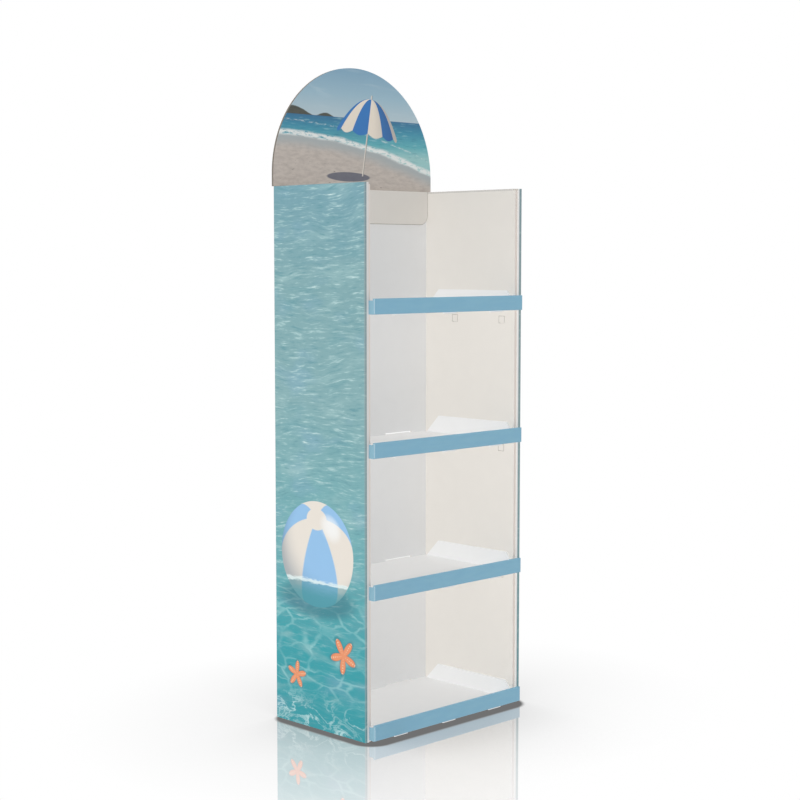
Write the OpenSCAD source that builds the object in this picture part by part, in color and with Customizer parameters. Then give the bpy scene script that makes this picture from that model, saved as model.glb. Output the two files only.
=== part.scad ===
// Floor display stand of folded corrugated board.
// X runs across the front, Y to the rear and Z up. The origin is on the floor,
// under the middle of the stand's outer box.

/* [Body] */
// Width across the outer side panels
body_w = 600; // [450:1:800]
// Depth from the front of the side walls to the rear of the back panel
body_d = 353; // [280:1:500]
// Height of the side walls
body_h = 1440; // [1360:1:1800]
// Thickness of the outer board
board_t = 5; // [3:0.1:6]
// Outside radius of a folded edge
fold_r = 2.5; // [0.5:0.1:3]

/* [Side walls] */
// Width of the return that closes the front of a side wall
return_w = 15; // [13:0.5:30]
// Depth of the glue flange behind each return
flange_d = 35; // [20:1:80]
// Set-back of a top flap's front end from the front of the side wall
lid_set = 10; // [7:0.5:40]
// Thickness of the inner liner board
liner_t = 8; // [5:0.1:12]
// Set-back of the liner's front edge from the front of the side wall
liner_set = 4.5; // [2:0.1:10]
// Width of the die-cut square flaps in the liner
square_w = 21.5; // [15:0.5:40]
// Height of the die-cut square flaps
square_h = 20.5; // [12:0.5:40]
// Distance of the front square's middle from the front of the side wall
square_front = 52.5; // [45:0.5:90]
// Distance of the rear square's middle from the front of the side wall
square_rear = 232; // [150:1:240]
// Distance of the upper squares' top below the top tray
square_drop = 18; // [14:0.5:40]
// Distance that each lower row of squares lies nearer to its tray
square_rise = 8; // [0:0.5:8]
// Width of a die-cut slit
slit_w = 1; // [0.5:0.1:2]
// Depth of the crease along a square's top
crease_d = 2; // [0.5:0.1:4]

/* [Back panel] */
// Height of the tuck flap folded over the top of the back panel
tuck_h = 95; // [60:1:140]
// Radius of the tuck flap's lower corners
tuck_r = 30; // [5:1:50]
// Gap between the back panel and the tuck flap
tuck_gap = 1.5; // [0.5:0.1:4]
// Width of a slot for a tray's rear tab
slot_w = 106; // [60:1:140]
// Distance of each slot's middle from the centre line
slot_x = 164; // [90:1:200]
// Room in a slot above the tab
slot_over = 4.5; // [0.5:0.1:10]

/* [Shelf trays] */
// Distance from one tray to the next
shelf_pitch = 367.5; // [250:0.5:400]
// Thickness of the tray board
tray_t = 5; // [3:0.1:6]
// Height of the front lip
lip_h = 40.5; // [25:0.5:80]
// Distance the lip stands out in front of the side walls
lip_out = 18; // [13:0.5:40]
// Distance of the lip's end flaps below its top
end_drop = 5; // [0.5:0.5:12]
// Width of a lock tab under the lip
lock_w = 48; // [20:1:80]
// Distance of the outer lock tabs from the centre line
lock_x = 183; // [90:1:220]
// Distance the lock tabs stand out below the tray
lock_out = 3.5; // [1:0.1:8]
// Height of the side flaps above the shelf
side_flap_h = 48.5; // [15:0.5:80]
// Run of the slant at a side flap's front end, along the shelf
slant_front = 37; // [5:0.5:80]
// Run of the slant at a side flap's rear end, along the shelf
slant_rear = 47; // [5:0.5:80]
// Distance of the side flaps' rear end from the tray's rear edge
side_flap_back = 8.5; // [0:0.5:40]
// Height of the tongue on each end flap that sits in the liner's notch
tongue_h = 20; // [10:0.5:24]
// Depth of the tongue behind the front of the side walls
tongue_d = 30; // [12:0.5:60]
// Gap between the lowest lock tabs and the floor
floor_gap = 0.5; // [0:0.1:5]

/* [Header] */
// Thickness of the header card
header_t = 6; // [3:0.1:10]
// Height of the header's straight sides below the arch
arch_rise = 33; // [5:1:120]
// Width of the tongue behind the back panel
header_tongue_w = 400; // [200:1:420]
// Height of the tongue behind the back panel
header_tongue_h = 120; // [60:1:180]
// Radius of the tongue's lower corners
header_tongue_r = 30; // [5:1:50]

/* [Fits] */
// Gap at each side of a piece that slides into place
slide_gap = 0.5; // [0.2:0.1:1]
// Gap at each end of a tab in its slot
tab_gap = 3; // [0.5:0.5:5]
// Gap at each end of a lock tab
lock_gap = 1; // [0.3:0.1:2]

/* [Hidden] */
$fn = 96;
tray_count = 4;
// Lets a cut run clear of the face that it starts from
over = 1;

// Planes across the stand, on its right half
side_x = body_w / 2;
return_x = side_x - return_w;
liner_x = return_x - liner_t;
tray_x = liner_x - slide_gap;
lip_x = return_x - slide_gap;
lip_in = lip_x - tray_t;

// Planes from front to rear
y_lip = -(lip_out + body_d + header_t) / 2;
y_front = y_lip + lip_out;
y_back = y_front + body_d;
y_rear = y_back + header_t;
y_inside = y_back - board_t;
y_tuck = y_inside - tuck_gap - board_t;
y_liner = y_front + liner_set;
y_tray = y_inside - slide_gap;
lip_t = 2 * tray_t;

// Heights
lid_z = body_h - board_t;
tray_base = lock_out + floor_gap;
function tray_z(level) = tray_base + level * shelf_pitch;
function square_z(level) = tray_z(level) - square_drop + (tray_count - 1 - level) * square_rise;

levels = [0 : tray_count - 1];
lock_places = [-lock_x, 0, lock_x];
rear_tab_w = slot_w - 2 * tab_gap;

// A block between two opposite corners
module block(low, high) {
    translate(low) cube(high - low);
}

// The same shape on the right and on the left
module both_sides() {
    children();
    mirror([1, 0, 0]) children();
}

// What a fold's round outer edge leaves off a sharp one: the edge runs up from
// the origin and the board lies towards -X and -Y
module fold_cut(length) {
    translate([-fold_r, -fold_r, 0]) difference() {
        cube([2 * fold_r, 2 * fold_r, length]);
        translate([0, 0, -over]) cylinder(r = fold_r, h = length + 2 * over);
    }
}

// A fold cut along -Y, with the board towards -X and -Z
module fold_cut_y(length) {
    rotate([90, 0, 0]) fold_cut(length);
}

// A fold cut across the stand and about its middle. At turn 0 the board lies towards
// -Y and -Z, at 180 towards +Y and +Z, and at 270 towards +Y and -Z
module fold_cut_x(length, turn) {
    translate([length / 2, 0, 0]) rotate([0, -90, 0]) rotate([0, 0, turn]) fold_cut(length);
}

// A plate in the XZ plane with round lower corners, hanging from z = 0
module tuck_outline(width, height, radius) {
    difference() {
        translate([-width / 2, -height]) square([width, height]);
        for (side = [-1, 1])
            translate([side * (width / 2 - radius), radius - height]) difference() {
                translate([side > 0 ? 0 : -2 * radius, -2 * radius]) square(2 * radius);
                circle(radius);
            }
    }
}

// Side panel, front return, glue flange and top flap of the right wall
module wrap_side() {
    block([side_x - board_t, y_front, 0], [side_x, y_back, body_h]);
    block([return_x, y_front, 0], [side_x, y_front + board_t, body_h]);
    block([return_x, y_front, 0], [return_x + board_t, y_front + flange_d, lid_z]);
    block([liner_x, y_front + lid_set, lid_z], [side_x, y_inside - slide_gap, body_h]);
}

// Back panel with the slots for the trays' rear tabs
module wrap_back() {
    difference() {
        block([-side_x, y_inside, 0], [side_x, y_back, body_h]);
        for (level = levels)
            both_sides()
                block([slot_x - slot_w / 2, y_inside - over, tray_z(level)],
                      [slot_x + slot_w / 2, y_back + over, tray_z(level) + tray_t + slot_over]);
    }
}

// Flap folded over the top of the back panel, down into the top compartment
module tuck_flap() {
    block([-tray_x, y_tuck, lid_z], [tray_x, y_back, body_h]);
    translate([0, y_tuck + board_t, body_h]) rotate([90, 0, 0])
        linear_extrude(board_t) tuck_outline(2 * tray_x, tuck_h, tuck_r);
}

// Round edges of the wrap's folds: the upright ones and those along the top
module wrap_folds() {
    both_sides() {
        translate([side_x, y_front, 0]) rotate([0, 0, 270]) fold_cut(body_h);
        translate([side_x, y_back, 0]) fold_cut(body_h);
        translate([side_x, y_back, body_h]) fold_cut_y(body_d);
        translate([return_x, y_front, 0]) rotate([0, 0, 180]) fold_cut(body_h);
    }
    translate([0, y_tuck, body_h]) fold_cut_x(2 * tray_x, 270);
    translate([0, y_back, body_h]) fold_cut_x(2 * tray_x, 0);
}

module outer_wrap() {
    color([0.45, 0.68, 0.70]) difference() {
        union() {
            both_sides() wrap_side();
            wrap_back();
            tuck_flap();
        }
        wrap_folds();
    }
}

// Three slits around a square flap, and the crease that it stays joined along
module square_slits() {
    for (side = [-1, 1])
        translate([-over, side * (square_w - slit_w) / 2 - slit_w / 2, -square_h])
            cube([liner_t + 2 * over, slit_w, square_h]);
    translate([-over, -square_w / 2, -square_h]) cube([liner_t + 2 * over, square_w, slit_w]);
    translate([-over, -square_w / 2, -slit_w]) cube([crease_d + over, square_w, slit_w]);
}

// Inner board of the right wall, with a spacer fold at its rear edge
module liner() {
    difference() {
        union() {
            block([liner_x, y_liner, 0], [return_x, y_inside, lid_z]);
            block([liner_x, y_inside - liner_t, 0], [side_x - board_t, y_inside, lid_z]);
        }
        for (level = levels)
            block([liner_x - over, y_liner - over, tray_z(level)],
                  [return_x + over, y_front + tongue_d + slide_gap, tray_z(level) + tongue_h + slide_gap]);
        for (level = [1 : tray_count - 1])
            for (y = [square_front, square_rear])
                translate([liner_x, y_front + y, square_z(level)]) square_slits();
    }
}

module right_liner() {
    color([0.89, 0.87, 0.85]) liner();
}

module left_liner() {
    color([0.89, 0.87, 0.85]) mirror([1, 0, 0]) liner();
}

// End flap of the lip on the right, with the tongue that rests in the liner
module end_flap() {
    block([lip_in, y_lip, 0], [lip_x, y_liner - slide_gap, lip_h - end_drop]);
    block([lip_in, y_lip, 0], [lip_x, y_front + tongue_d, tongue_h]);
}

// Upright flap along the right edge of the base, with slanted ends
module side_flap() {
    flap_z = tray_t + side_flap_h;
    root_front = y_lip + lip_t;
    root_rear = y_tray - side_flap_back;
    translate([tray_x - tray_t, 0, 0]) rotate([90, 0, 90]) linear_extrude(tray_t)
        polygon([[root_front, tray_t / 2], [root_front, tray_t], [root_front + slant_front, flap_z],
                 [root_rear - slant_rear, flap_z], [root_rear, tray_t], [root_rear, tray_t / 2]]);
}

// Front lip: outer panel rolled over into an inner panel
module lip() {
    difference() {
        union() {
            block([-lip_x, y_lip, 0], [lip_x, y_lip + tray_t, lip_h]);
            block([-lip_in, y_lip, 0], [lip_in, y_lip + lip_t, lip_h]);
            both_sides() end_flap();
        }
        both_sides() translate([lip_x, y_lip, 0]) rotate([0, 0, 270]) fold_cut(lip_h);
        translate([0, y_lip, lip_h]) fold_cut_x(body_w, 270);
        translate([0, y_lip + lip_t, lip_h]) fold_cut_x(body_w, 0);
        translate([0, y_lip, 0]) fold_cut_x(body_w, 180);
    }
}

// One folded sheet: base, lip, lock tabs, side flaps and the rear tabs, which stand out
// behind the back panel as far as the header
module shelf_tray(level) {
    translate([0, 0, tray_z(level)]) color([0.86, 0.88, 0.90]) {
        difference() {
            union() {
                block([-tray_x, y_lip + tray_t, 0], [tray_x, y_tray, tray_t]);
                block([-lip_in, y_lip + tray_t, 0], [lip_in, y_liner - slide_gap, tray_t]);
                lip();
                both_sides() side_flap();
                both_sides()
                    block([slot_x - rear_tab_w / 2, y_tray - over, 0],
                          [slot_x + rear_tab_w / 2, y_rear, tray_t]);
            }
            for (x = lock_places)
                block([x - lock_w / 2 - lock_gap, y_lip + tray_t, -over],
                      [x + lock_w / 2 + lock_gap, y_lip + lip_t + slide_gap, tray_t]);
        }
        for (x = lock_places)
            block([x - lock_w / 2, y_lip + tray_t, -lock_out], [x + lock_w / 2, y_lip + lip_t, tray_t]);
    }
}

module shelf_tray_1() {
    shelf_tray(0);
}

module shelf_tray_2() {
    shelf_tray(1);
}

module shelf_tray_3() {
    shelf_tray(2);
}

module shelf_tray_4() {
    shelf_tray(3);
}

// Outline of the arch that stands above the side walls
module arch_outline() {
    intersection() {
        union() {
            translate([-side_x, 0]) square([body_w, arch_rise]);
            translate([0, arch_rise]) circle(side_x);
        }
        translate([-body_w, 0]) square([2 * body_w, arch_rise + body_w]);
    }
}

module header() {
    color([0.62, 0.74, 0.80]) translate([0, y_rear, body_h]) rotate([90, 0, 0])
        linear_extrude(header_t) union() {
            arch_outline();
            tuck_outline(header_tongue_w, header_tongue_h, header_tongue_r);
        }
}

outer_wrap();
left_liner();
right_liner();
shelf_tray_1();
shelf_tray_2();
shelf_tray_3();
shelf_tray_4();
header();
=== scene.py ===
"""The floor display stand dressed for its picture: board, print, cut edges, light and camera."""
import math

import bpy
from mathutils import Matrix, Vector


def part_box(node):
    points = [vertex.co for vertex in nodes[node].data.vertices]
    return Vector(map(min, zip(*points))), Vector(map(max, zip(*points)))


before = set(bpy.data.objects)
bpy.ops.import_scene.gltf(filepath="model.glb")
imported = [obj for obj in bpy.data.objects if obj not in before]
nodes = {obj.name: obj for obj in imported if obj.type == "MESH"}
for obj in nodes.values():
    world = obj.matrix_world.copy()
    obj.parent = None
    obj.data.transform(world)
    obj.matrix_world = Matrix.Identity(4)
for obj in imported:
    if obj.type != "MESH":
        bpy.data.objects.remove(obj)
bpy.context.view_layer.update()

# Planes of the stand in millimetres, read from the frame
MM = 0.001
wrap_low, wrap_high = [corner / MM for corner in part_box("outer_wrap")]
header_low, header_high = [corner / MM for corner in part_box("header")]
liner_low, liner_high = [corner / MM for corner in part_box("right_liner")]
tray_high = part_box("shelf_tray_1")[1] / MM
side_x = wrap_high.x
wall_h = wrap_high.z
front_y = wrap_low.y
back_y = wrap_high.y
arch_h = header_high.z - wall_h

# Board: thickness, flute pitch and the corner radius of a fold, in millimetres
board_t = 5.0
flute_pitch = 7.0
fold_r = 2.5


def srgb(red, green, blue):
    """A colour given in 0 to 255 screen values, as the linear values that shaders take."""
    def linear(value):
        value /= 255
        return value / 12.92 if value <= 0.04045 else ((value + 0.055) / 1.055) ** 2.4
    return (linear(red), linear(green), linear(blue), 1.0)


# Colours of bare board, its cut edges and the lips, with painted shade and painted light among them
CREAM = srgb(220, 216, 210)
WHITE = srgb(228, 228, 228)
PALE = srgb(217, 217, 216)
KRAFT = srgb(176, 168, 157)
# Painted shade: the dark of hollows, used in the fluting of cut edges, in slits and creases and over
# the header's cut edge
HOLLOW_SHADE = srgb(112, 105, 96)
# Painted shade for the thin line round the tuck flap
TUCK_RIM_SHADE = srgb(120, 113, 104)
LIP_BLUE = srgb(125, 175, 200)
LIP_BLUE_WORN = srgb(129, 178, 201)
# Painted light: the lip blue retinted for the end flaps, for how light falls on them
LIP_BLUE_LIT_ENDS = srgb(135, 175, 192)
# Partly wear and partly painted highlight: the lighter rubbed fold of the lip
LIP_RUB_AND_HIGHLIGHT = srgb(214, 226, 234)
# Painted shade: the same white board, a little darker on the shelf tops
SHELF_SHADED = srgb(222, 222, 222)
EDGE_DARK = srgb(190, 187, 182)
EDGE_LIGHT = srgb(212, 209, 205)
LAYER_DARK = srgb(214, 204, 197)
LAYER_LIGHT = srgb(226, 217, 211)
FOLDED_PRINT = srgb(138, 144, 145)

# Colours of the printed water, from the floor up, and of what lies on it
WATER_STOPS = (
    (0.0, srgb(26, 142, 152)),
    (0.15, srgb(36, 148, 157)),
    (0.34, srgb(100, 162, 168)),
    (0.60, srgb(124, 164, 168)),
    (0.82, srgb(120, 160, 165)),
    (1.0, srgb(110, 153, 165)),
)
WATER_TONE = srgb(118, 160, 182)
SWELL_LIGHT = srgb(158, 192, 192)
SWELL_DARK = srgb(86, 146, 156)
RIPPLE_LIGHT = srgb(172, 204, 204)
RIPPLE_DARK = srgb(90, 143, 152)
GLINT = srgb(212, 230, 228)
SUN_NET = srgb(158, 208, 208)
FOAM = srgb(196, 226, 226)
BALL_CREAM = srgb(222, 215, 205)
BALL_BLUE = srgb(140, 184, 222)
BALL_DARK = srgb(70, 105, 130)
BALL_SHINE = srgb(240, 244, 246)
BALL_SHADOW = srgb(32, 96, 112)
BALL_SUNK = srgb(54, 142, 152)
WATERLINE = srgb(220, 235, 234)
STAR = srgb(222, 140, 98)
STAR_RIM = srgb(190, 98, 64)
STAR_DOTS = srgb(240, 204, 172)
STAR_SHADOW = srgb(30, 92, 106)

# Colours of the printed beach and its parasol
SKY_STOPS = (
    (0.0, srgb(178, 197, 205)),
    (0.45, srgb(152, 183, 199)),
    (1.0, srgb(124, 162, 186)),
)
SEA_STOPS = (
    (0.0, srgb(50, 108, 146)),
    (0.30, srgb(58, 138, 164)),
    (0.70, srgb(92, 170, 180)),
    (1.0, srgb(150, 196, 196)),
)
HAZE = srgb(206, 219, 222)
SEA_LIGHT = srgb(158, 202, 208)
SEA_DARK = srgb(38, 104, 132)
SAND_LIGHT = srgb(196, 187, 179)
SAND_DARK = srgb(179, 170, 163)
SAND_MARK = srgb(96, 86, 80)
SAND_WET = srgb(166, 174, 176)
SURF = srgb(228, 232, 230)
HILL_DARK = srgb(40, 48, 48)
HILL_LIGHT = srgb(90, 92, 80)
SAND_SHADOW = srgb(62, 72, 96)
POLE_LIGHT = srgb(230, 224, 214)
POLE_DARK = srgb(150, 146, 142)
CANOPY_CREAM = srgb(232, 222, 208)
CANOPY_BLUE = srgb(46, 116, 184)
CANOPY_DARK = srgb(30, 52, 84)


class Field:
    """A number or colour that varies over a surface: one output of a material's nodes."""

    def __init__(self, tree, socket):
        self.tree = tree
        self.socket = socket

    def __add__(self, other):
        return compute("ADD", self, other)

    def __sub__(self, other):
        return compute("SUBTRACT", self, other)

    def __rsub__(self, other):
        return compute("SUBTRACT", other, self)

    def __mul__(self, other):
        return compute("MULTIPLY", self, other)

    def __truediv__(self, other):
        return compute("DIVIDE", self, other)

    def __abs__(self):
        return compute("ABSOLUTE", self)

    __radd__ = __add__
    __rmul__ = __mul__


def plug(tree, socket, value):
    """Feeds a field, a number or a colour to a node's input."""
    if isinstance(value, Field):
        tree.links.new(value.socket, socket)
    else:
        socket.default_value = value


def tree_of(values):
    return next(value.tree for value in values if isinstance(value, Field))


def compute(operation, *values):
    tree = tree_of(values)
    node = tree.nodes.new("ShaderNodeMath")
    node.operation = operation
    for socket, value in zip(node.inputs, values):
        plug(tree, socket, value)
    return Field(tree, node.outputs[0])


def smooth(value, start, end):
    """0 at start and 1 at end, eased at both, whichever is the larger."""
    node = value.tree.nodes.new("ShaderNodeMapRange")
    node.interpolation_type = "SMOOTHSTEP"
    for socket, entry in zip(node.inputs, (value, start, end, 0.0, 1.0)):
        plug(value.tree, socket, entry)
    return Field(value.tree, node.outputs[0])


def greater(one, two):
    return compute("MAXIMUM", one, two)


def lesser(one, two):
    return compute("MINIMUM", one, two)


def mix(factor, under, over):
    """The colour under, with the colour over laid on it by a factor."""
    tree = tree_of((factor, under, over))
    node = tree.nodes.new("ShaderNodeMix")
    node.data_type = "RGBA"
    for socket, value in zip((node.inputs[0], node.inputs[6], node.inputs[7]), (factor, under, over)):
        plug(tree, socket, value)
    return Field(tree, node.outputs[2])


def ramp(value, stops):
    """A colour that runs through the stops, each a position from 0 to 1 and a colour."""
    node = value.tree.nodes.new("ShaderNodeValToRGB")
    elements = node.color_ramp.elements
    while len(elements) < len(stops):
        elements.new(0.5)
    for element, (position, colour) in zip(elements, stops):
        element.position = position
        element.color = colour
    plug(value.tree, node.inputs[0], value)
    return Field(value.tree, node.outputs[0])


def vector(across, along, up):
    tree = tree_of((across, along, up))
    node = tree.nodes.new("ShaderNodeCombineXYZ")
    for socket, value in zip(node.inputs, (across, along, up)):
        plug(tree, socket, value)
    return Field(tree, node.outputs[0])


def noise(place, detail=2.0, roughness=0.5, distortion=0.0):
    """Soft noise from 0 to 1 with features about one unit of place across."""
    node = place.tree.nodes.new("ShaderNodeTexNoise")
    plug(place.tree, node.inputs["Vector"], place)
    node.inputs["Scale"].default_value = 1.0
    node.inputs["Detail"].default_value = detail
    node.inputs["Roughness"].default_value = roughness
    node.inputs["Distortion"].default_value = distortion
    return Field(place.tree, node.outputs[0])


def patches(u, v, seed, wide, high, **look):
    """Soft noise over a print, with features about wide by high millimetres across."""
    return noise(vector(u / wide, v / high, seed), **look)


def flutes(along):
    """The wave of the fluting, from -1 to 1, at a place along it in millimetres."""
    return compute("SINE", along * (2 * math.pi / flute_pitch))


def cell_edges(place):
    """Distance from the edges of cells about one unit of place across."""
    node = place.tree.nodes.new("ShaderNodeTexVoronoi")
    node.feature = "DISTANCE_TO_EDGE"
    plug(place.tree, node.inputs["Vector"], place)
    node.inputs["Scale"].default_value = 1.0
    return Field(place.tree, node.outputs["Distance"])


def split(tree, socket):
    node = tree.nodes.new("ShaderNodeSeparateXYZ")
    tree.links.new(socket, node.inputs[0])
    return [Field(tree, output) for output in node.outputs]


class Surface:
    """A material under way: the place and facing of its points, and its shader."""

    def __init__(self, name):
        self.material = bpy.data.materials.new(name)
        self.material.use_nodes = True
        self.tree = self.material.node_tree
        self.shader = self.tree.nodes["Principled BSDF"]
        place = self.tree.nodes.new("ShaderNodeTexCoord").outputs["Object"]
        facing = self.tree.nodes.new("ShaderNodeNewGeometry").outputs["Normal"]
        self.x, self.y, self.z = [value / MM for value in split(self.tree, place)]
        self.facing_x, self.facing_y, self.facing_z = split(self.tree, facing)

    def finish_paper(self, colour, ribs, gloss, ink=0.0):
        """Coated paper on corrugated board: fibres, the flutes showing through and a soft sheen.

        ribs runs across the flutes, in millimetres, and ink is where print lies.
        """
        fibre_mm = 0.9
        cloud_mm = 45
        flute_show = 0.012
        fibre_show = 0.02
        grain = vector(self.x / fibre_mm, self.y / fibre_mm, self.z / fibre_mm)
        grain = noise(grain, detail=3.0, roughness=0.6)
        mottle = noise(vector(self.x / cloud_mm, self.y / cloud_mm, self.z / cloud_mm), detail=3.0)
        shade = 0.965 + 0.03 * grain + 0.04 * mottle
        tinted = self.tree.nodes.new("ShaderNodeVectorMath")
        tinted.operation = "SCALE"
        plug(self.tree, tinted.inputs[0], colour)
        plug(self.tree, tinted.inputs["Scale"], shade)
        plug(self.tree, self.shader.inputs["Base Color"], Field(self.tree, tinted.outputs[0]))
        roughness = gloss + 0.10 * mottle + 0.06 * grain - 0.12 * ink
        plug(self.tree, self.shader.inputs["Roughness"], roughness)
        height = flute_show * flutes(ribs) + fibre_show * grain
        bump = self.tree.nodes.new("ShaderNodeBump")
        bump.inputs["Strength"].default_value = 1.0
        bump.inputs["Distance"].default_value = MM
        plug(self.tree, bump.inputs["Height"], height)
        self.tree.links.new(bump.outputs[0], self.shader.inputs["Normal"])
        self.shader.inputs["IOR"].default_value = 1.46
        return self.material


def cut_edge(through, along, thickness):
    """Colour of a cut board edge: white liners and the wave of the fluting between them, with painted
    shade in the hollows between the flutes.

    through runs from one face of the board to the other, and along runs along the edge.
    """
    wave = flutes(along) * (0.36 * thickness)
    # Painted shade in the hollows on both sides of the flute wave
    core = mix(smooth(abs(through - wave), 0.9, 0.35), HOLLOW_SHADE, KRAFT)
    return mix(smooth(abs(through), 0.42 * thickness, 0.47 * thickness), core, PALE)


# The printed water of the side walls

def water_print(u, v, seed):
    """Colour of the water at u along the wall and v above the floor, in millimetres."""
    near_v = 160
    far_v = 560
    sway = patches(u, v, seed, 260, 170) - 0.5
    level = v + 60 * sway + 0.05 * u
    far = smooth(v, near_v, far_v)
    colour = ramp(v / wall_h + 0.08 * sway, WATER_STOPS)
    tone = patches(u, v, seed + 1, 160, 90)
    colour = mix(smooth(tone, 0.52, 0.75) * 0.45, colour, WATER_TONE)
    swell = patches(u, level, seed + 2, 170, 46, detail=3.0)
    colour = mix(smooth(swell, 0.50, 0.78) * 0.50, colour, SWELL_LIGHT)
    colour = mix(smooth(swell, 0.46, 0.20) * 0.45, colour, SWELL_DARK)
    wide = patches(u, level, seed + 4, 74, 10, detail=3.0, roughness=0.6)
    fine = patches(u, level, seed + 6, 30, 4, detail=3.0, roughness=0.6)
    ripple = 0.55 * wide + 0.45 * fine
    colour = mix(smooth(ripple, 0.51, 0.66) * (0.20 + 0.62 * far), colour, RIPPLE_LIGHT)
    colour = mix(smooth(ripple, 0.48, 0.34) * (0.20 + 0.60 * far), colour, RIPPLE_DARK)
    sunlit = smooth(patches(u, v, seed + 8, 120, 80), 0.42, 0.62)
    colour = mix(smooth(ripple, 0.62, 0.72) * sunlit * far, colour, GLINT)
    warp = 34 * patches(u, v, seed + 10, 70, 46, detail=3.0)
    net = cell_edges(vector((u + warp) / 92, (level + warp) / 38, seed + 12))
    shallow = smooth(v, 40, near_v) * smooth(v, 520, 300)
    colour = mix(smooth(net, 0.10, 0.0) * shallow * (0.15 + 0.35 * sunlit), colour, SUN_NET)
    swash = patches(u, v, seed + 14, 85, 52, detail=6.0, roughness=0.6, distortion=1.2)
    wisps = smooth(abs(swash - 0.5), 0.05, 0.0) * smooth(v + 150 * sway, 120, 20)
    return mix(wisps * (0.20 + 0.50 * sunlit), colour, FOAM)


def ball_print(under, u, v, seed, centre, radius):
    """A beach ball of pale blue and cream gores floating on the water, over the colour under."""
    gore_pairs = 3.0
    float_line = 0.52
    across = (u - centre[0]) / radius
    up = (v - centre[1]) / radius
    reach = across * across + up * up
    out = compute("SQRT", greater(1 - reach, 0.0))
    side = 0.82 * across - 0.42 * up + 0.39 * out
    rise = 0.57 * across + 0.60 * up - 0.56 * out
    pole = 0.68 * up + 0.73 * out
    gores = compute("SINE", compute("ARCTAN2", side, rise) * gore_pairs)
    colour = mix(smooth(gores, -0.07, 0.07), BALL_CREAM, BALL_BLUE)
    colour = mix(smooth(pole, 0.955, 0.962), colour, BALL_CREAM)
    light = 0.55 * up - 0.40 * across + 0.73 * out
    colour = mix(smooth(light, 0.55, -0.35) * 0.55, colour, BALL_DARK)
    colour = mix(smooth(light, 0.93, 1.0) * 0.6, colour, BALL_SHINE)
    ripple = patches(u, v, seed + 20, 34, 8, detail=3.0) - 0.5
    line = up + float_line + 0.16 * ripple
    shadow = smooth(across * across + (up + 0.86) * (up + 0.86) * 9.0, 1.5, 0.5)
    under = mix(shadow * 0.55, under, BALL_SHADOW)
    sunk = mix(smooth(line, 0.0, -0.30) * 0.35 + 0.50, colour, BALL_SUNK)
    colour = mix(smooth(line, -0.02, 0.02), sunk, colour)
    colour = mix(smooth(abs(line), 0.05, 0.01) * 0.8, colour, WATERLINE)
    return mix(smooth(reach, 1.0, 0.975), under, colour)


def star_print(under, u, v, centre, radius, turn):
    """A starfish with five round arms, over the colour under."""
    half_arms = 2.5
    across = (u - centre[0]) / radius
    up = (v - centre[1]) / radius
    reach = compute("SQRT", across * across + up * up)
    arms = abs(compute("COSINE", compute("ARCTAN2", up, across) * half_arms + turn))
    edge = 0.30 + 0.68 * compute("POWER", arms, 1.8)
    body = smooth(reach - edge, 0.02, -0.02)
    rim = smooth(edge - reach, 0.16, 0.0)
    colour = mix(rim * 0.7, STAR, STAR_RIM)
    dots = smooth(arms, 0.975, 0.998) * smooth(compute("SINE", reach * 42.0), -0.1, 0.4)
    colour = mix(dots * smooth(reach, 0.06, 0.14) * 0.7, colour, STAR_DOTS)
    halo = smooth(reach - edge, 0.26, 0.0) * 0.40
    return mix(body, mix(halo, under, STAR_SHADOW), colour)


def wall_print(surface):
    """The whole print of a side wall, which runs on round the front fold."""
    seed_apart = 31.0
    u = surface.y - front_y + abs(surface.x) - side_x
    v = surface.z
    seed = smooth(surface.x, -1.0, 1.0) * seed_apart
    colour = water_print(u, v, seed)
    colour = star_print(colour, u, v, centre=(84, 214), radius=50, turn=0.6)
    colour = star_print(colour, u, v, centre=(268, 134), radius=38, turn=2.1)
    return ball_print(colour, u, v, seed, centre=(186, 470), radius=142)


# The printed beach of the header

def beach_print(x, h, seed):
    """Colour of the beach at x from the middle and h above the side walls, in millimetres."""
    horizon = 196
    sea_depth = 100
    shore_h = 118
    drift = patches(x, h, seed, 150, 60, detail=3.0) - 0.5
    sky = ramp((h - horizon) / (arch_h - horizon), SKY_STOPS)
    haze = patches(x, h, seed + 1, 170, 28, detail=4.0, distortion=0.6)
    sky = mix(smooth(haze, 0.55, 0.80) * 0.22, sky, HAZE)
    chop = patches(x, h, seed + 2, 42, 5, detail=4.0)
    sea = ramp((horizon - h) / sea_depth, SEA_STOPS)
    sea = mix(smooth(chop, 0.55, 0.75) * 0.5, sea, SEA_LIGHT)
    sea = mix(smooth(chop, 0.45, 0.25) * 0.5, sea, SEA_DARK)
    shore = shore_h - 0.16 * x - 0.00028 * x * x + 26 * drift
    bed = h - shore
    lumps = patches(x, h, seed + 3, 26, 9, detail=5.0, roughness=0.6)
    sand = mix(smooth(lumps, 0.35, 0.70), SAND_LIGHT, SAND_DARK)
    marks = patches(x, h, seed + 4, 15, 5)
    sand = mix(smooth(marks, 0.68, 0.74) * smooth(bed, -40, -80) * 0.75, sand, SAND_MARK)
    sand = mix(smooth(bed, -46, -4), sand, SAND_WET)
    colour = mix(smooth(bed, -1.0, 1.5), sand, sea)
    froth = patches(x, h, seed + 5, 20, 7, detail=6.0, roughness=0.65)
    surf = smooth(abs(bed - 7), 13, 3) * smooth(froth, 0.34, 0.52)
    breaker = smooth(abs(bed - 40 + 30 * drift), 4, 0.5) * smooth(froth, 0.46, 0.60) * 0.45
    colour = mix(greater(surf, breaker), colour, SURF)
    big_hill = 26 * smooth(abs(x + 228), 92, 0)
    small_hill = 13 * smooth(abs(x + 112), 50, 0)
    hills = big_hill + small_hill + 5 * (lumps - 0.5)
    ridge = smooth(h - horizon - hills + 4, 1.5, -1.5) * smooth(h, horizon - 3, horizon - 1)
    sky = mix(ridge, sky, mix(lumps, HILL_DARK, HILL_LIGHT))
    colour = mix(smooth(h, horizon - 0.8, horizon + 0.8), colour, sky)
    return parasol_print(colour, x, h)


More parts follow.
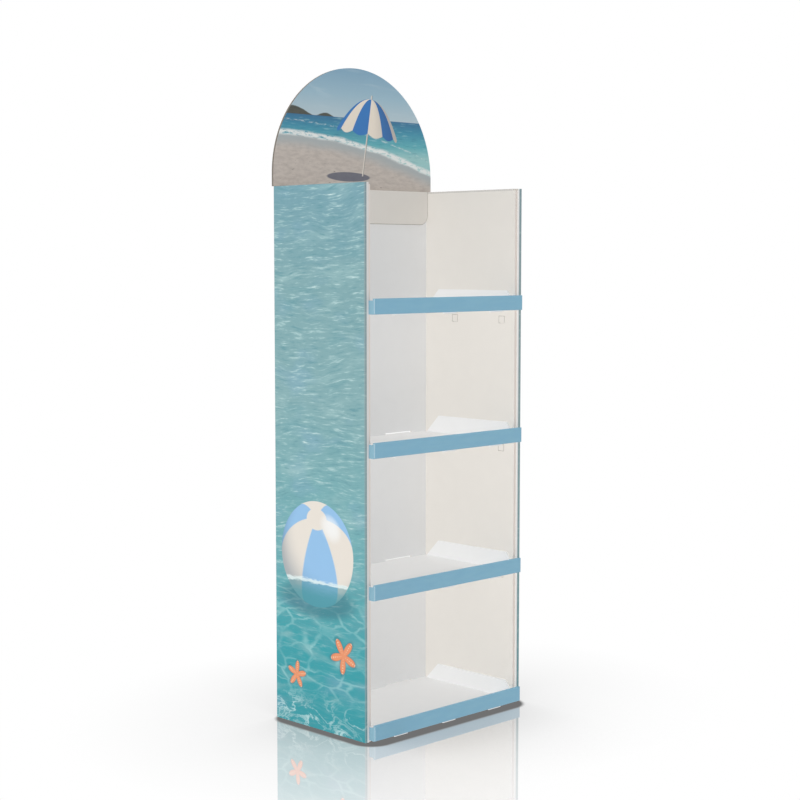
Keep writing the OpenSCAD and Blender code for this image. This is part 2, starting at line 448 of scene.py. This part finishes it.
def parasol_print(under, x, h):
    """A striped parasol on its pole, with its shadow on the sand, over the colour under."""
    top_x = 62
    top_h = 252
    lean = 0.16
    tilt = 0.10
    span = 118
    drop = 96
    scallop = 9
    foot_h = 36
    gores = 6
    shadow_x = -26
    shadow_h = 34
    shadow_wide = 82
    shadow_high = 13
    across = x - top_x - lean * (h - top_h)
    down = top_h - h - tilt * across
    shade_x = (x - shadow_x) / shadow_wide
    shade_h = (h - shadow_h) / shadow_high
    shadow = smooth(compute("SQRT", shade_x * shade_x + shade_h * shade_h), 1.05, 0.93)
    under = mix(shadow * 0.80, under, SAND_SHADOW)
    pole = smooth(abs(across), 3.2, 2.2) * smooth(h, foot_h, foot_h + 3) * smooth(down, -12, -9)
    under = mix(pole, under, mix(smooth(across, -2.0, 2.0), POLE_LIGHT, POLE_DARK))
    half = span * compute("SQRT", greater(lesser(down / drop, 1.0), 0.0))
    place = lesser(greater(across / greater(half, 1.0), -1.0), 1.0)
    turn = (compute("ARCSINE", place) / math.pi + 0.5) * (math.pi * gores)
    hem = drop + scallop * abs(compute("SINE", turn))
    canopy = smooth(1.0 - abs(place), 0.0, 0.02) * smooth(down, 0.0, 1.5) * smooth(hem - down, 0.0, 1.5)
    colour = mix(smooth(compute("SINE", turn), -0.05, 0.05), CANOPY_CREAM, CANOPY_BLUE)
    colour = mix(smooth(place, 0.0, 1.1) * 0.45, colour, CANOPY_DARK)
    return mix(canopy, under, colour)


# Materials of the four kinds of board

def tuck_rim_shade(surface):
    """Painted shade line around the tuck flap in the top compartment, 0 to 1."""
    flap_h = 95
    corner_r = 30
    rim_w = 1.6
    flap_rear = back_y - 8
    flap_front = back_y - 13.5
    flap_foot = wall_h - flap_h
    aside = greater(abs(surface.x) - (liner_low.x - corner_r), 0.0)
    below = greater(flap_foot + corner_r - surface.z, 0.0)
    reach = compute("SQRT", aside * aside + below * below)
    flap = smooth(surface.y, flap_rear + 0.5, flap_rear - 0.5)
    flap = flap * smooth(surface.y, flap_front - 0.5, flap_front + 0.5)
    flap = flap * smooth(abs(surface.x), liner_low.x, liner_low.x - 0.2)
    flap = flap * smooth(surface.z, flap_foot - 1, flap_foot)
    return flap * smooth(reach, corner_r - rim_w, corner_r - 0.5 * rim_w)


def wrap_material():
    """Printed side walls, pale front returns, white inside the back and cream on the rest."""
    surface = Surface("wrap_board")
    left_bleed = 6.2
    right_bleed = 10.5
    gloss = 0.46
    bleed = smooth(surface.x, -1.0, 1.0) * (right_bleed - left_bleed) + left_bleed
    outside = smooth(abs(surface.x), side_x - fold_r - 0.2, side_x - fold_r)
    front = smooth(surface.y, front_y + fold_r + 0.2, front_y + fold_r)
    wrapped = front * smooth(abs(surface.x), side_x - bleed - 0.4, side_x - bleed + 0.4)
    inked = greater(outside * smooth(abs(surface.facing_y), 0.95, 0.7), wrapped)
    inked = inked * smooth(surface.facing_z, -0.9, -0.5) * smooth(surface.y, back_y - 1.0, back_y - 2.0)
    inside = smooth(surface.y, back_y - 8.0, back_y - 7.0) * smooth(surface.facing_y, -0.5, -0.9)
    colour = mix(inside, CREAM, WHITE)
    colour = mix(front, colour, PALE)
    colour = mix(inked, colour, mix(wrapped * 0.5, wall_print(surface), FOLDED_PRINT))
    edge_colour = mix(smooth(flutes(surface.x + surface.y), -0.6, 0.6), EDGE_DARK, EDGE_LIGHT)
    top_edge = smooth(surface.z, wall_h - board_t - 0.2, wall_h - board_t)
    top_edge = top_edge * smooth(abs(surface.x), side_x - 12, side_x - 15)
    top_edge = top_edge * smooth(abs(surface.facing_x), 0.8, 0.95)
    foot_edge = smooth(surface.facing_z, -0.6, -0.9) * smooth(surface.z, 2.0, 1.0)
    colour = mix(greater(top_edge, foot_edge), colour, edge_colour)
    # A thin line of painted shade round the tuck flap
    colour = mix(tuck_rim_shade(surface), colour, TUCK_RIM_SHADE)
    return surface.finish_paper(colour, surface.x + surface.y, gloss, inked)


def liner_material():
    """Cream board with layered cut edges and painted shade in the slits and creases round its square
    flaps.
    """
    surface = Surface("liner_board")
    layer_pitch = 4.0
    notch_reach = 35
    slit_shade_tone = 0.75
    gloss = 0.55
    layers = compute("SINE", (surface.x - liner_low.x) * (2 * math.pi / layer_pitch))
    edge = smooth(surface.facing_y, -0.6, -0.9) * smooth(surface.y, liner_low.y + 2, liner_low.y + 1)
    colour = mix(edge, CREAM, mix(smooth(layers, -0.4, 0.4), LAYER_DARK, LAYER_LIGHT))
    # Painted shade: the walls of the slits and the grooves of the creases are darkened towards the
    # hollow colour
    cut = smooth(abs(surface.facing_x), 0.6, 0.4)
    cut = cut * smooth(surface.z, wall_h - 8, wall_h - 10) * smooth(surface.z, 1, 3)
    cut = cut * smooth(surface.y, liner_low.y + notch_reach - 1, liner_low.y + notch_reach + 1)
    cut = cut * smooth(surface.y, liner_high.y - 10, liner_high.y - 12)
    depth = abs(surface.x) - liner_low.x
    crease_shade = smooth(depth, 0.3, 0.5) * smooth(depth, 4.5, 4.3) * smooth(abs(surface.facing_x), 0.6, 0.8)
    colour = mix(greater(cut, crease_shade) * slit_shade_tone, colour, HOLLOW_SHADE)
    return surface.finish_paper(colour, surface.y, gloss)


def tray_material(node):
    """White board with a blue print over the lip, its rolled top and its end flaps."""
    low, high = [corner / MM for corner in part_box(node)]
    tab_drop = 3.5
    lip_t = 2 * board_t
    end_x = tray_high.x - board_t
    rub_and_highlight_tone = 0.05
    gloss = 0.50
    surface = Surface("tray_board_" + node[-1])
    lip = smooth(surface.y, low.y + lip_t + 0.3, low.y + lip_t)
    lip = lip * smooth(abs(surface.facing_x), 0.5, 0.3)
    ends = smooth(abs(surface.x), end_x - 0.2, end_x) * smooth(abs(surface.facing_x), 0.40, 0.68)
    under = smooth(surface.facing_z, -0.9, -0.98) * smooth(surface.y, low.y + 3, low.y + 4)
    above = smooth(surface.z, low.z + tab_drop - 0.3, low.z + tab_drop)
    # Where the fold turns neither mask is full, so white board shows along it: partly cracked print,
    # partly painted highlight
    blue = greater(lip, ends) * above * (1 - under)
    fold = smooth(abs(surface.facing_x * surface.facing_y), 0.34, 0.48)
    fold = fold * smooth(surface.y, low.y + 3, low.y + 2) * smooth(abs(surface.facing_x), 0.62, 0.74)
    rub = noise(vector(surface.x / 3, surface.y / 3, surface.z / 7), detail=3.0)
    worn = smooth(noise(vector(surface.x / 60, surface.z / 12, surface.y / 60)), 0.3, 0.7)
    # Painted shade: the shelf tops are set a little darker than the same white board elsewhere
    shelf = smooth(surface.facing_z, 0.8, 0.95) * smooth(surface.z, high.z - 30, high.z - 34)
    colour = mix(shelf, WHITE, SHELF_SHADED)
    # The end flaps take a copy of the lip blue retinted for how light falls on them (painted light)
    colour = mix(blue, colour, mix(ends, mix(worn, LIP_BLUE, LIP_BLUE_WORN), LIP_BLUE_LIT_ENDS))
    # A lighter rubbed line along the fold: partly wear, partly painted highlight
    colour = mix(fold * above * smooth(rub, 0.25, 0.5) * rub_and_highlight_tone, colour, LIP_RUB_AND_HIGHLIGHT)
    tab_end = smooth(surface.facing_y, 0.6, 0.9) * smooth(surface.y, back_y - 1, back_y)
    through = surface.z - (low.z + tab_drop + board_t / 2)
    colour = mix(tab_end, colour, cut_edge(through, surface.x, board_t))
    return surface.finish_paper(colour, surface.y + surface.z, gloss, blue)


def header_material():
    """Printed face, plain back and a fluted edge darkened by painted shade."""
    surface = Surface("header_board")
    thickness = header_high.y - header_low.y
    edge_shade = 0.85
    print_seed = 5.0
    gloss = 0.42
    face = smooth(surface.facing_y, -0.7, -0.9)
    rear = smooth(surface.facing_y, 0.7, 0.9)
    through = surface.y - (header_low.y + header_high.y) / 2
    # Painted shade darkens the whole cut edge towards the hollow colour
    edge = mix(edge_shade, cut_edge(through, surface.x, thickness), HOLLOW_SHADE)
    colour = mix(rear, edge, CREAM)
    colour = mix(face, colour, beach_print(surface.x, surface.z - wall_h, print_seed))
    return surface.finish_paper(colour, surface.x, gloss, face)


def dress(node, material):
    slots = nodes[node].data.materials
    slots.clear()
    slots.append(material)


dress("outer_wrap", wrap_material())
dress("header", header_material())
liner_board = liner_material()
dress("left_liner", liner_board)
dress("right_liner", liner_board)
for name in nodes:
    if name.startswith("shelf_tray"):
        dress(name, tray_material(name))


# Floor, light and camera

def floor():
    """A pale glowing floor that mirrors the stand softly and is darker close to it, with painted shade
    and a painted contact shadow.
    """
    floor_size = 40
    half_x = side_x * MM
    half_y = back_y * MM
    contact_grow = 0.0045
    contact_shift = 0.0165
    contact_r = 0.045
    contact_shadow_level = 0.165
    shade_reach = 0.65
    shade_power = 0.80
    front_power = 0.42
    mirror_share = 0.45
    mirror_reach = 1.6
    bpy.ops.mesh.primitive_plane_add(size=floor_size, location=(0, 0, 0))
    plane = bpy.context.object
    plane.name = "floor"
    material = bpy.data.materials.new("floor")
    material.use_nodes = True
    tree = material.node_tree
    tree.nodes.remove(tree.nodes["Principled BSDF"])
    place = tree.nodes.new("ShaderNodeTexCoord").outputs["Object"]
    x, y = split(tree, place)[:2]

    def distance(half_x, half_y, shift, corner_r):
        """How far a point lies outside a footprint that is set forward and left, with round corners."""
        beside_x = greater(abs(x + shift) - (half_x - corner_r), 0.0)
        beside_y = greater(abs(y + shift) - (half_y - corner_r), 0.0)
        return compute("SQRT", beside_x * beside_x + beside_y * beside_y) - corner_r

    path = tree.nodes.new("ShaderNodeLightPath").outputs
    bounced = Field(tree, path["Is Diffuse Ray"]) + Field(tree, path["Is Glossy Ray"])
    # A painted contact shadow just outside a footprint set forward and left
    foot = distance(half_x - contact_grow, half_y + contact_grow, contact_shift, contact_r)
    contact_shadow = smooth(foot, 0.028, 0.012) * (1 - bounced)
    # Painted shade: the floor's glow is darkened by ambient occlusion, more strongly in front of the
    # stand
    occlusion = tree.nodes.new("ShaderNodeAmbientOcclusion")
    occlusion.inputs["Distance"].default_value = shade_reach
    before = smooth(y, -0.10, -0.32) * smooth(x, 0.50, 0.25)
    power = shade_power + front_power * before
    room_shade = compute("POWER", Field(tree, occlusion.outputs["AO"]), power)
    room_shade = greater(room_shade, 0.98 * bounced)
    glow = tree.nodes.new("ShaderNodeEmission")
    plug(tree, glow.inputs["Color"], room_shade * (1 - contact_shadow) + contact_shadow_level * contact_shadow)
    mirror = tree.nodes.new("ShaderNodeBsdfGlossy")
    mirror.inputs["Color"].default_value = (1, 1, 1, 1)
    mirror.inputs["Roughness"].default_value = 0.02
    blend = tree.nodes.new("ShaderNodeMixShader")
    shine = mirror_share * smooth(distance(half_x, half_y, 0.0, 0.0), mirror_reach, -0.1)
    plug(tree, blend.inputs[0], shine * (1 - contact_shadow) * (1 - bounced))
    tree.links.new(glow.outputs[0], blend.inputs[1])
    tree.links.new(mirror.outputs[0], blend.inputs[2])
    tree.links.new(blend.outputs[0], tree.nodes["Material Output"].inputs[0])
    plane.data.materials.append(material)


def sun(name, toward, strength):
    """Even light from far away, with no cast shadows, as in a plain product view."""
    sun_width = math.radians(20)
    data = bpy.data.lights.new(name, "SUN")
    data.energy = strength
    data.angle = sun_width
    data.use_shadow = False
    light = bpy.data.objects.new(name, data)
    light.rotation_euler = Vector(toward).to_track_quat("Z", "Y").to_euler()
    light.visible_glossy = False
    bpy.context.scene.collection.objects.link(light)


def studio():
    """A white room that is dimmer as a light than it looks, and two even lights."""
    room_dimming = 0.64
    scene = bpy.context.scene
    scene.view_settings.view_transform = "Standard"
    world = bpy.data.worlds.new("studio")
    world.use_nodes = True
    tree = world.node_tree
    background = tree.nodes["Background"]
    background.inputs["Color"].default_value = (1, 1, 1, 1)
    diffuse = Field(tree, tree.nodes.new("ShaderNodeLightPath").outputs["Is Diffuse Ray"])
    plug(tree, background.inputs["Strength"], 1.0 - room_dimming * diffuse)
    scene.world = world
    sun("key", (-0.73, -0.35, 0.55), 2.0)
    sun("rear", (0.62, 0.68, 0.10), 1.4)


def camera():
    """The photograph's view, solved from the stand's corners."""
    focal_px = 1647.3
    image_px = 800
    pitch_down = 4.865
    heading = -44.717
    data = bpy.data.cameras.new("camera")
    data.sensor_width = 36
    data.lens = focal_px * data.sensor_width / image_px
    data.clip_end = 100
    view = bpy.data.objects.new("camera", data)
    view.location = (-3.1677, -3.1929, 1.2447)
    view.rotation_euler = (math.radians(90 - pitch_down), 0, math.radians(heading))
    bpy.context.scene.collection.objects.link(view)
    bpy.context.scene.camera = view


floor()
studio()
camera()
